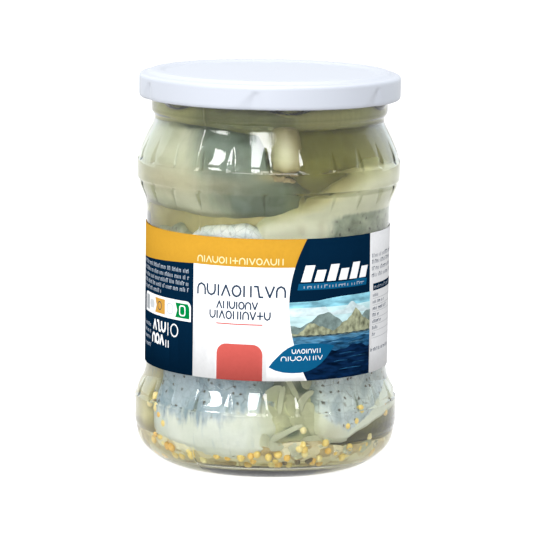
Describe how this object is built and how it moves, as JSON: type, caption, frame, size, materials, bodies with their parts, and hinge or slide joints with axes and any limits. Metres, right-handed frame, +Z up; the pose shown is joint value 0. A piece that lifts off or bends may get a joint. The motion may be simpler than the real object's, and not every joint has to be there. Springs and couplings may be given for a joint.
{
  "type": "jar of rollmops",
  "caption": "Shut glass jar of rolled herring fillets with onion and mustard seeds, grooved shoulders, a white twist lid and a paper wrap round its waist.",
  "frame": {"origin": "centre of the jar's foot, on the plane that it stands on", "axes": "+Z up along the jar's axis, towards the lid; -Y towards the front of the label; +X to the right of someone who looks at the front"},
  "size_m": [0.0858, 0.0858, 0.1282],
  "materials": {
    "glass": "clear, gloss",
    "lacquered_lid": "gloss",
    "label_paper": "satin",
    "fish": "wet, satin"
  },
  "bodies": {
    "root": {"jar_glass": "glass", "lid": "lacquered_lid", "label": "label_paper", "rollmops": "fish"}
  },
  "joints": []
}
